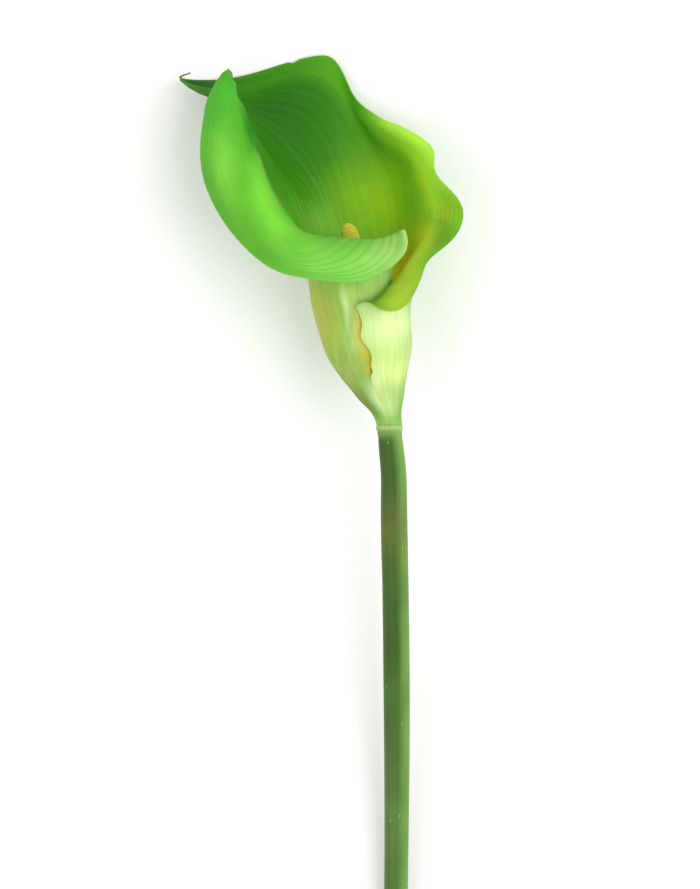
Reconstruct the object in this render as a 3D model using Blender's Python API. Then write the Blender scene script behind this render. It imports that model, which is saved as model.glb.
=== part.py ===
"""A cut calla lily flower lying on its back: one rolled spathe, the spadix inside it and the stem.

Lengths in the tables are millimetres in the bloom's own frame: x to the right, y along the stem towards
the bloom, z upwards, from the centre of the ring where the spathe joins the stem.
"""

import math

import bmesh
import bpy
import numpy as np
from mathutils import Vector

MM = 0.001

# Driving dimensions, in millimetres.
SHEET = 1.1  # thickness of the spathe
SHEET_AT_TIP = 0.3  # its thickness at the very tip, as a share of that
SEAM_GAP = 0.7  # clear space where one side of the spathe passes under the other
BOSS_RADIUS = 3.5  # the round end of the stem inside the foot of the spathe
BOSS_HEIGHT = 1.6
CUT_SLANT = 0.25  # how far the cut end leans, as a slope
RING_CENTRE = (26.4, 75.5, 40.5)  # the ring's place, from the middle of the whole flower's footprint

# Colours, linear, and roughness.
SPATHE_GREEN = (0.22, 0.52, 0.09)
STEM_GREEN = (0.09, 0.24, 0.05)
SPADIX_YELLOW = (0.72, 0.55, 0.05)
SATIN = 0.45
MATT = 0.8

# The stem's centre line and radius from the ring down to the cut: x, y, z, radius.
STEM = [
    (0.0, 0.0, 0.0, 5.0),
    (0.0, -1.6, 0.0, 5.15),
    (0.1, -3.2, -0.1, 4.95),
    (0.5, -8.0, -0.6, 4.9),
    (1.5, -18.0, -2.1, 5.1),
    (1.8, -32.0, -4.5, 5.3),
    (2.3, -60.0, -9.8, 5.3),
    (2.8, -95.0, -16.6, 5.3),
    (3.0, -135.0, -23.8, 5.1),
    (2.8, -175.0, -29.4, 4.8),
    (2.3, -215.0, -33.0, 4.8),
    (1.6, -255.0, -35.0, 4.9),
    (0.8, -298.0, -35.45, 5.0),
]

# The spadix from its seat, a gap of 0.3 above the boss, to its tip: x, y, z, radius.
SPADIX = [
    (-0.5, 1.95, 0.0, 2.7),
    (-0.55, 3.4, 0.0, 2.9),
    (-1.5, 7.0, 0.0, 3.1),
    (-4.4, 20.0, 0.0, 3.7),
    (-8.4, 40.0, -0.5, 3.9),
    (-12.5, 60.0, -1.0, 3.9),
    (-15.0, 72.0, -1.2, 3.7),
    (-16.0, 76.8, -1.2, 3.1),
    (-16.4, 79.0, -1.2, 2.0),
    (-16.6, 80.0, -1.2, 0.7),
]

# The closed foot of the spathe: station, height, centre across, outer radius, azimuth of the left and of
# the right margin in degrees (0 faces up, 90 faces left), and how far the left side is tucked under.
FUNNEL = [
    (0.0, 0.45, -0.3, 5.2, 7.5, 367.5, 0.0),
    (0.25, 2.0, -0.45, 5.3, 7.5, 367.5, 0.0),
    (0.5, 4.5, -1.2, 6.0, 7.5, 367.5, 0.0),
    (1.0, 9.0, -3.0, 8.5, 7.5, 367.5, 0.0),
    (1.5, 14.0, -4.7, 10.9, 7.5, 367.5, 0.0),
    (1.75, 16.5, -5.6, 12.1, 7.5, 367.5, 0.0),
    (1.9, 18.0, -6.2, 13.0, 9.0, 364.0, 0.15),
    (2.1, 20.0, -6.9, 14.0, 7.0, 361.0, 0.6),
    (2.4, 23.0, -7.8, 15.4, -2.0, 359.0, 1.0),
    (2.8, 28.0, -8.6, 17.2, -18.0, 356.5, 1.0),
    (3.2, 33.5, -9.3, 18.4, -28.0, 366.0, 1.0),
    (3.6, 39.5, -10.4, 19.0, -36.0, 363.0, 1.0),
    (4.0, 46.0, -11.3, 19.8, -40.0, 365.0, 1.0),
]

# The veins that shape the open part, each with its place across the sheet, from the left margin (0)
# over the midrib (0.5) to the right margin (1), and its points: station, x, y, z.
VEINS = [
    (0.0, [
        (4.5, 0.8, 53.5, 14.0), (5.0, 1.4, 62.0, 16.0), (5.25, 3.4, 69.5, 19.4), (5.5, 6.4, 76.0, 22.5),
        (5.65, 7.2, 72.5, 27.5), (5.85, 4.2, 65.5, 30.0), (6.1, -5.0, 58.8, 31.0),
        (6.35, -15.0, 56.4, 31.5), (6.7, -33.0, 58.0, 28.0), (7.1, -48.0, 62.5, 21.0),
        (7.5, -61.0, 74.0, 12.0), (7.9, -70.0, 87.2, 5.0), (8.3, -75.0, 101.0, 1.0),
        (8.6, -75.6, 113.0, 0.0), (8.9, -74.0, 125.0, -1.0), (9.1, -71.0, 134.0, -2.0),
        (9.23, -65.2, 142.0, -2.5), (9.37, -62.8, 138.2, -9.0), (9.6, -68.7, 134.3, -15.6),
    ]),
    (0.0625, [
        (4.5, -4.8, 53.5, 17.4), (5.0, -4.8, 62.0, 19.8), (5.5, -4.5, 74.6, 25.5),
        (5.75, -6.5, 70.0, 31.0), (6.1, -13.0, 64.0, 33.5), (6.45, -24.0, 61.0, 32.0),
        (6.9, -41.0, 63.5, 26.0), (7.35, -55.0, 73.0, 18.0), (7.8, -65.5, 86.5, 11.0),
        (8.25, -71.5, 102.0, 7.0), (8.7, -72.0, 118.0, 5.0), (9.0, -69.5, 130.0, 2.5),
        (9.2, -65.4, 138.6, 1.0), (9.37, -62.6, 136.0, -8.0), (9.6, -69.8, 132.9, -18.1),
    ]),
    (0.125, [
        (5.0, -15.5, 61.0, 21.5), (5.5, -16.0, 74.4, 26.0), (5.8, -19.5, 71.5, 31.0),
        (6.2, -27.0, 67.0, 32.5), (6.6, -37.0, 66.0, 29.5), (7.0, -47.0, 70.5, 25.0),
        (7.4, -56.0, 79.0, 20.0), (7.8, -62.5, 90.0, 15.5), (8.2, -66.0, 103.0, 12.5),
        (8.6, -67.0, 116.0, 10.0), (8.9, -65.6, 127.5, 6.0), (9.15, -62.6, 136.6, 0.0),
        (9.35, -63.0, 134.5, -10.0), (9.6, -70.6, 131.7, -20.3),
    ]),
    (0.25, [
        (5.0, -30.1, 61.0, 10.4), (5.5, -34.0, 73.0, 14.0), (6.0, -38.6, 79.8, 17.0),
        (6.5, -44.4, 86.2, 17.5), (7.0, -49.0, 94.0, 16.5), (7.5, -52.4, 103.0, 14.5),
        (8.0, -54.6, 112.0, 11.5), (8.4, -56.6, 120.6, 7.5), (8.8, -59.6, 128.6, 0.0),
        (9.2, -64.5, 131.0, -12.0), (9.6, -72.4, 131.5, -23.6),
    ]),
    (0.375, [
        (5.0, -31.4, 61.0, -8.0), (5.5, -33.0, 73.0, -10.0), (6.0, -35.2, 83.0, -12.0),
        (6.5, -38.6, 92.0, -13.0), (7.0, -43.2, 99.6, -13.5), (7.5, -48.4, 107.0, -14.5),
        (8.0, -53.8, 114.5, -16.0), (8.5, -60.0, 120.5, -19.0), (9.0, -66.5, 125.5, -22.5),
        (9.6, -74.5, 132.6, -26.8),
    ]),
    (0.5, [
        (5.0, -18.3, 61.0, -21.0), (5.5, -22.0, 74.0, -26.0), (6.0, -25.4, 84.5, -30.0),
        (6.5, -29.2, 94.0, -33.0), (7.0, -34.2, 102.3, -34.6), (7.5, -40.3, 110.0, -34.8),
        (8.0, -47.0, 117.0, -34.0), (8.5, -55.0, 122.8, -32.8), (9.0, -64.0, 128.5, -31.6),
        (9.5, -73.3, 133.4, -30.0),
    ]),
    (0.5625, [
        (5.0, -9.4, 61.0, -22.4), (5.5, -12.4, 74.5, -28.0), (6.0, -15.6, 87.0, -33.0),
        (6.5, -18.8, 99.5, -36.6), (7.0, -23.0, 111.2, -37.4), (7.5, -29.8, 121.6, -37.0),
        (8.0, -39.0, 127.4, -35.8), (8.5, -49.6, 128.6, -34.4), (9.0, -61.5, 129.8, -33.4),
        (9.5, -73.0, 134.4, -31.4),
    ]),
    (0.625, [
        (5.0, -0.2, 61.0, -19.8), (5.5, -1.6, 75.0, -27.0), (6.0, -3.4, 89.0, -34.8),
        (6.5, -7.6, 102.8, -39.8), (7.0, -14.2, 115.6, -38.6), (7.5, -21.8, 128.0, -37.6),
        (8.0, -31.0, 135.4, -37.2), (8.5, -44.0, 136.0, -36.2), (9.0, -58.3, 132.6, -35.4),
        (9.5, -72.4, 135.3, -32.6),
    ]),
    (0.75, [
        (5.0, 9.6, 61.5, -4.0), (5.4, 10.2, 74.0, -9.5), (5.8, 10.4, 86.6, -17.0),
        (6.1, 8.8, 97.6, -24.0), (6.4, 4.4, 106.2, -30.0), (6.7, -4.4, 113.4, -34.4),
        (7.0, -10.0, 119.9, -36.2), (7.4, -16.2, 128.4, -37.8), (7.8, -21.6, 136.4, -38.6),
        (8.2, -29.0, 140.8, -38.6), (8.6, -40.0, 140.6, -37.8), (9.0, -54.2, 136.8, -37.0),
        (9.5, -71.0, 136.7, -34.2),
    ]),
    (0.875, [
        (4.5, 3.4, 53.0, 14.2), (5.0, 7.4, 64.0, 13.0), (5.3, 12.4, 71.0, 7.6), (5.6, 17.2, 78.5, 1.4),
        (5.8, 17.8, 86.4, -5.0), (6.0, 15.4, 94.6, -11.4), (6.2, 12.4, 103.0, -17.0),
        (6.4, 7.0, 109.8, -22.6), (6.7, -3.2, 116.6, -29.6), (7.0, -10.0, 122.2, -33.2),
        (7.4, -15.0, 130.2, -36.0), (7.8, -19.6, 138.4, -37.8), (8.1, -24.4, 143.0, -38.6),
        (8.5, -34.0, 143.6, -38.8), (9.0, -51.4, 139.8, -38.2), (9.5, -69.7, 137.7, -35.6),
    ]),
    (0.9375, [
        (4.3, -3.9, 49.6, 19.4), (4.6, -0.8, 53.6, 21.4), (4.9, 4.6, 58.2, 20.2),
        (5.15, 10.0, 64.0, 16.0), (5.4, 15.6, 70.4, 9.8), (5.6, 20.8, 76.6, 4.0),
        (5.8, 22.8, 86.0, -3.0), (6.0, 18.6, 95.6, -9.4), (6.2, 14.9, 106.4, -15.4),
        (6.4, 9.4, 112.6, -20.4), (6.7, -1.0, 118.4, -27.2), (7.0, -8.2, 123.4, -31.2),
        (7.4, -14.4, 131.0, -34.4), (7.8, -18.8, 139.6, -37.0), (8.05, -22.6, 144.6, -38.4),
        (8.4, -30.5, 146.0, -38.9), (9.0, -50.2, 141.2, -39.2), (9.5, -69.1, 138.1, -36.6),
    ]),
    (1.0, [
        (4.12, -13.0, 47.4, 20.8), (4.25, -9.6, 48.6, 23.6), (4.4, -6.0, 46.9, 27.0),
        (4.6, -0.8, 44.9, 28.8), (4.8, 5.0, 46.2, 28.0), (4.95, 8.4, 49.6, 25.8),
        (5.1, 10.8, 54.0, 23.0), (5.25, 13.0, 59.4, 19.5), (5.4, 15.8, 65.6, 14.6),
        (5.5, 20.5, 69.6, 10.2), (5.6, 25.4, 74.0, 5.8), (5.7, 28.8, 79.6, 2.0), (5.8, 29.4, 86.0, -1.6),
        (5.92, 25.4, 92.8, -5.6), (6.04, 20.4, 97.8, -8.8), (6.14, 17.8, 102.6, -11.4),
        (6.24, 18.0, 108.6, -13.8), (6.34, 15.0, 113.2, -16.6), (6.5, 6.6, 118.6, -21.6),
        (6.75, -1.0, 121.6, -25.8), (7.0, -6.2, 124.6, -28.8), (7.3, -12.4, 129.4, -31.8),
        (7.6, -16.2, 135.6, -34.6), (7.9, -19.6, 143.0, -37.0), (8.1, -23.0, 147.2, -38.2),
        (8.4, -30.0, 148.0, -38.8), (8.7, -39.0, 146.0, -39.6), (9.0, -49.2, 142.8, -40.0),
        (9.5, -68.5, 138.5, -37.4),
    ]),
]
APEX = (10.0, -82.0, 139.0, -29.6)
TAIL = (10.3, -79.8, 141.0, -27.5)
APEX_HALF_WIDTH = 1.2
TAIL_HALF_WIDTH = 0.6
GUTTER_LEAN = 0.3
GUTTER_DEPTH = 0.6
TUCK_FROM = 0.13  # across the sheet, from here the left side comes out from under the right one
TUCK_FADE = 0.2

ACROSS = 44  # faces across the sheet
ROWS = [(0.0, 0.25, 1), (0.25, 1.75, 4), (1.75, 2.1, 2), (2.1, 2.4, 1), (2.4, 4.0, 4), (4.0, 6.4, 24),
        (6.4, 8.9, 11), (8.9, 9.6, 7), (9.6, 10.3, 3)]  # stations, and the rows between them
SEAM_END = 1.75  # the station where the foot's seam opens
TIP_FROM = -74.0  # left of this the sheet is a narrow point
TIP_MERGE = 0.6  # and its points are merged when they lie this close
TIP_TAPER = 16.0  # the length over which the point thins
STEM_SIDES = 24
STEM_SPACING = 10.0  # the longest step between the stem's rings
SPADIX_SIDES = 20
SPADIX_SPACING = 5.0


def spline_weights(knots, places):
    """Weights that carry values at the knots to a natural cubic spline's values at the places."""
    knots = np.asarray(knots, float)
    gap = np.diff(knots)
    count = len(knots)
    system = np.eye(count)
    load = np.zeros((count, count))
    for i in range(1, count - 1):
        system[i, i - 1 : i + 2] = gap[i - 1], 2 * (gap[i - 1] + gap[i]), gap[i]
        load[i, i - 1 : i + 2] = 6 / gap[i - 1], -6 / gap[i - 1] - 6 / gap[i], 6 / gap[i]
    bend = np.linalg.solve(system, load)
    rows = []
    for place in places:
        i = int(np.clip(np.searchsorted(knots, place, side="right") - 1, 0, count - 2))
        after = (place - knots[i]) / gap[i]
        before = 1 - after
        row = ((before**3 - before) * bend[i] + (after**3 - after) * bend[i + 1]) * gap[i] ** 2 / 6
        row[i] += before
        row[i + 1] += after
        rows.append(row)
    return np.array(rows)


def smoothstep(t):
    """A share that rises smoothly from 0 to 1 as t does."""
    t = min(max(t, 0.0), 1.0)
    return t * t * (3 - 2 * t)


def funnel_point(across, row):
    """A point of the closed foot at one station, on the sheet's middle surface."""
    _, height, centre, radius, left, right, tuck = row
    azimuth = math.radians(left + (right - left) * across)
    tucked = tuck * (1 - smoothstep((across - TUCK_FROM) / TUCK_FADE)) * (SHEET + SEAM_GAP)
    middle = radius - SHEET / 2 - tucked
    return centre - middle * math.sin(azimuth), height, middle * math.cos(azimuth)


def tip_point(across, row, half_width):
    """A point of the narrow gutter in which the sheet ends: a leaning parabola that stands on edge."""
    side = 2 * across - 1
    _, x, y, z = row
    y += half_width * (GUTTER_LEAN * (side - 1) + GUTTER_DEPTH * side * side)
    return x, y, z - half_width * side


def vein_points(across, free, stations):
    """The vein at this place across the sheet, at each station."""
    knots = [row[0] for row in FUNNEL] + [row[0] for row in free] + [APEX[0], TAIL[0]]
    places = [funnel_point(across, row) for row in FUNNEL] + [row[1:] for row in free]
    places += [tip_point(across, APEX, APEX_HALF_WIDTH), tip_point(across, TAIL, TAIL_HALF_WIDTH)]
    return spline_weights(knots, stations) @ np.array(places)


def spathe_surface(across, stations):
    """The sheet's middle surface as an array of points, [station, across, xyz]."""
    veins = np.array([vein_points(place, free, stations) for place, free in VEINS])
    weights = spline_weights([place for place, _ in VEINS], across)
    return np.einsum("av,vsk->sak", weights, veins)


def row_stations(rows):
    """Where a mesh has its rows, from runs of first place, last place and number of steps between them."""
    runs = [np.linspace(first, last, count, endpoint=False) for first, last, count in rows]
    return np.append(np.concatenate(runs), rows[-1][1])


def bloom_material(name, colour, roughness):
    """A Principled material for one piece."""
    material = bpy.data.materials.new(name)
    material.use_nodes = True
    shader = material.node_tree.nodes["Principled BSDF"]
    shader.inputs["Base Color"].default_value = (*colour, 1.0)
    shader.inputs["Roughness"].default_value = roughness
    material.diffuse_color = (*colour, 1.0)
    return material


def finish_piece(name, shape, bloom, material):
    """Turn a bmesh into a smooth shaded object that lies with the bloom."""
    bmesh.ops.recalc_face_normals(shape, faces=shape.faces[:])
    mesh = bpy.data.meshes.new(name)
    shape.to_mesh(mesh)
    shape.free()
    mesh.shade_smooth()
    mesh.materials.append(material)
    piece = bpy.data.objects.new(name, mesh)
    bpy.context.collection.objects.link(piece)
    piece.parent = bloom
    return piece


def make_spathe(bloom):
    """The rolled sheet: a grid laid on its surface, closed along the seam of the foot, then thickened."""
    stations = row_stations(ROWS)
    across = np.linspace(0, 1, ACROSS + 1)
    surface = spathe_surface(across, stations) * MM
    shape = bmesh.new()
    bmesh.ops.create_grid(shape, x_segments=ACROSS, y_segments=len(stations) - 1, size=0.5)
    width = ACROSS + 1
    shape.verts.ensure_lookup_table()
    for index, vertex in enumerate(shape.verts):
        vertex.co = Vector(surface[index // width, index % width])
    seam = {}
    for row in np.flatnonzero(stations <= SEAM_END):
        left = shape.verts[row * width]
        seam[shape.verts[row * width + ACROSS]] = left
        left.co = Vector(surface[row, [0, ACROSS]].mean(axis=0))
    bmesh.ops.weld_verts(shape, targetmap=seam)
    tip = [v for v in shape.verts if v.co.x < TIP_FROM * MM]
    bmesh.ops.remove_doubles(shape, verts=tip, dist=TIP_MERGE * MM)
    spathe = finish_piece("spathe", shape, bloom, bloom_material("fresh_spathe", SPATHE_GREEN, SATIN))
    thick = spathe.vertex_groups.new(name="thick")
    for vertex in spathe.data.vertices:
        thick.add([vertex.index], smoothstep((vertex.co.x / MM - APEX[1]) / TIP_TAPER), "REPLACE")
    solidify = spathe.modifiers.new("sheet", "SOLIDIFY")
    solidify.thickness = SHEET * MM
    solidify.offset = 0.0
    solidify.use_even_offset = False
    solidify.vertex_group = "thick"
    solidify.thickness_vertex_group = SHEET_AT_TIP
    return spathe


def sweep(stops, sides, spacing):
    """A round body along a smooth line through stops of x, y, z and radius, with its two end faces."""
    stops = np.array(stops)
    knots = np.append(0.0, np.cumsum(np.linalg.norm(np.diff(stops[:, :3], axis=0), axis=1)))
    places = row_stations([(a, b, math.ceil((b - a) / spacing)) for a, b in zip(knots, knots[1:])])
    line = spline_weights(knots, places) @ stops
    heading = np.gradient(line[:, :3], places, axis=0)
    shape = bmesh.new()
    bmesh.ops.create_grid(shape, x_segments=sides, y_segments=len(places) - 1, size=0.5)
    shape.verts.ensure_lookup_table()
    width = sides + 1
    seam = {}
    for row, (stop, forward) in enumerate(zip(line, heading)):
        turn = Vector(forward).to_track_quat("Z", "X")
        for column in range(width):
            angle = math.tau * column / sides
            spoke = Vector((math.cos(angle), math.sin(angle), 0.0)) * stop[3]
            shape.verts[row * width + column].co = (Vector(stop[:3]) + turn @ spoke) * MM
        seam[shape.verts[row * width + sides]] = shape.verts[row * width]
    bmesh.ops.weld_verts(shape, targetmap=seam)
    ends = bmesh.ops.edgeloop_fill(shape, edges=[edge for edge in shape.edges if edge.is_boundary])["faces"]
    bmesh.ops.recalc_face_normals(shape, faces=shape.faces[:])
    return shape, sorted(ends, key=lambda face: face.calc_center_median().y)


def make_stem(bloom):
    """The fleshy stem: swollen under the spathe, with a boss that holds the spadix, cut at the far end."""
    shape, (cut, top) = sweep(STEM, STEM_SIDES, STEM_SPACING)
    middle = cut.calc_center_median()
    for vertex in cut.verts:
        vertex.co.y += CUT_SLANT * (vertex.co.z - middle.z)
    bmesh.ops.inset_region(shape, faces=[top], thickness=(STEM[0][3] - BOSS_RADIUS) * MM)
    raised = bmesh.ops.extrude_discrete_faces(shape, faces=[top])["faces"]
    bmesh.ops.translate(shape, verts=raised[0].verts, vec=(0.0, BOSS_HEIGHT * MM, 0.0))
    return finish_piece("stem", shape, bloom, bloom_material("green_stem", STEM_GREEN, SATIN))


def make_spadix(bloom):
    """The finger of tiny flowers inside the spathe."""
    shape, _ = sweep(SPADIX, SPADIX_SIDES, SPADIX_SPACING)
    return finish_piece("spadix", shape, bloom, bloom_material("yellow_spadix", SPADIX_YELLOW, MATT))


def main():
    for old in list(bpy.data.objects):
        bpy.data.objects.remove(old, do_unlink=True)
    bloom = bpy.data.objects.new("bloom", None)
    bpy.context.collection.objects.link(bloom)
    bloom.location = Vector(RING_CENTRE) * MM
    make_spathe(bloom)
    make_spadix(bloom)
    make_stem(bloom)


if __name__ == "__main__":
    main()
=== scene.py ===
"""A cut calla lily on a pale studio floor: the finished spathe, spadix and stem around their CAD solids.

Lengths in the tables are millimetres in the bloom's own frame: x to the right, y along the stem towards
the bloom, z upwards, from the centre of the ring where the spathe joins the stem. Places on the spathe are
given as across, from the left margin (0) over the midrib (0.5) to the right margin (1), and as a station,
from the foot (0) to the tip (10).
"""

import math
import random

import bmesh
import bpy
import numpy as np
from bpy.props import FloatProperty, FloatVectorProperty, IntProperty, PointerProperty
from mathutils import Matrix, Vector


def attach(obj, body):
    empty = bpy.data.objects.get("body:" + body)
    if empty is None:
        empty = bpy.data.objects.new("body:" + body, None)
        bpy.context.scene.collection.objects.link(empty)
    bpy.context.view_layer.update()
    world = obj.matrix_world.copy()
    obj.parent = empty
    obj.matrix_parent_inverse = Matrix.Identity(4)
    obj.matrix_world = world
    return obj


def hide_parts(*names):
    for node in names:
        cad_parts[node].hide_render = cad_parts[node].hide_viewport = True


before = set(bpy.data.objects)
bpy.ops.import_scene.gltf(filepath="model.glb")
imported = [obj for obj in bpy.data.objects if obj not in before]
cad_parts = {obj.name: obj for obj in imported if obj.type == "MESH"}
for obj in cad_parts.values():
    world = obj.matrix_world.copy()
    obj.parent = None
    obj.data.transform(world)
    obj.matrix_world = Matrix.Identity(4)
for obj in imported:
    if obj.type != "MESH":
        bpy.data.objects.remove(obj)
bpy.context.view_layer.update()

bl_info = {
    "name": "Calla Lily",
    "version": (1, 0, 0),
    "blender": (4, 5, 0),
    "location": "3D View > Sidebar > Calla Lily",
    "description": "Builds a cut calla lily and the studio in which it lies",
    "category": "Add Mesh",
}

MM = 0.001
RING_CENTRE = (26.4, 75.5, 40.5)  # the ring's place, from the middle of the whole flower's footprint
BOSS_RADIUS = 3.5  # the round end of the stem inside the foot of the spathe
BOSS_HEIGHT = 1.6
BOSS_ROUND = 0.5
CUT_SLANT = 0.25  # how far the cut end leans, as a slope
SEAM_GAP = 0.7  # clear space where one side of the spathe passes under the other
SHEET = 1.1  # thickness of the CAD sheet, whose middle the finished one shares

# The stem's centre line and radius from the ring down to the cut: x, y, z, radius.
STEM = [
    (0.0, 0.0, 0.0, 5.0),
    (0.0, -1.6, 0.0, 5.15),
    (0.1, -3.2, -0.1, 4.95),
    (0.5, -8.0, -0.6, 4.9),
    (1.5, -18.0, -2.1, 5.1),
    (1.8, -32.0, -4.5, 5.3),
    (2.3, -60.0, -9.8, 5.3),
    (2.8, -95.0, -16.6, 5.3),
    (3.0, -135.0, -23.8, 5.1),
    (2.8, -175.0, -29.4, 4.8),
    (2.3, -215.0, -33.0, 4.8),
    (1.6, -255.0, -35.0, 4.9),
    (0.8, -298.0, -35.45, 5.0),
]

# The spadix from its seat, a gap of 0.3 above the boss, to its tip: x, y, z, radius.
SPADIX = [
    (-0.5, 1.95, 0.0, 2.7),
    (-0.55, 3.4, 0.0, 2.9),
    (-1.5, 7.0, 0.0, 3.1),
    (-4.4, 20.0, 0.0, 3.7),
    (-8.4, 40.0, -0.5, 3.9),
    (-12.5, 60.0, -1.0, 3.9),
    (-15.0, 72.0, -1.2, 3.9),
    (-16.0, 76.8, -1.2, 3.45),
    (-16.4, 79.0, -1.2, 2.4),
    (-16.6, 80.0, -1.2, 0.8),
]

# The closed foot of the spathe: station, height, centre across, outer radius, azimuth of the left and of
# the right margin in degrees (0 faces up, 90 faces left), and how far the left side is tucked under.
FUNNEL = [
    (0.0, -0.3, 0.0, 5.3, 7.5, 367.5, 0.0),
    (0.25, 1.6, -0.4, 5.35, 7.5, 367.5, 0.0),
    (0.5, 4.5, -1.2, 6.0, 7.5, 367.5, 0.0),
    (1.0, 9.0, -3.0, 8.5, 7.5, 367.5, 0.0),
    (1.5, 14.0, -4.7, 10.9, 7.5, 367.5, 0.0),
    (1.75, 16.5, -5.6, 12.1, 7.5, 367.5, 0.0),
    (1.9, 18.0, -6.2, 13.0, 6.0, 366.0, 0.35),
    (2.1, 20.0, -6.9, 14.0, 1.0, 363.0, 0.8),
    (2.4, 23.0, -7.8, 15.4, -2.0, 359.0, 1.0),
    (2.8, 28.0, -8.6, 17.2, -18.0, 356.5, 1.0),
    (3.2, 33.5, -9.3, 18.4, -28.0, 366.0, 1.0),
    (3.6, 39.5, -10.4, 19.0, -36.0, 363.0, 1.0),
    (4.0, 46.0, -11.3, 19.8, -40.0, 365.0, 1.0),
]

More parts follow.
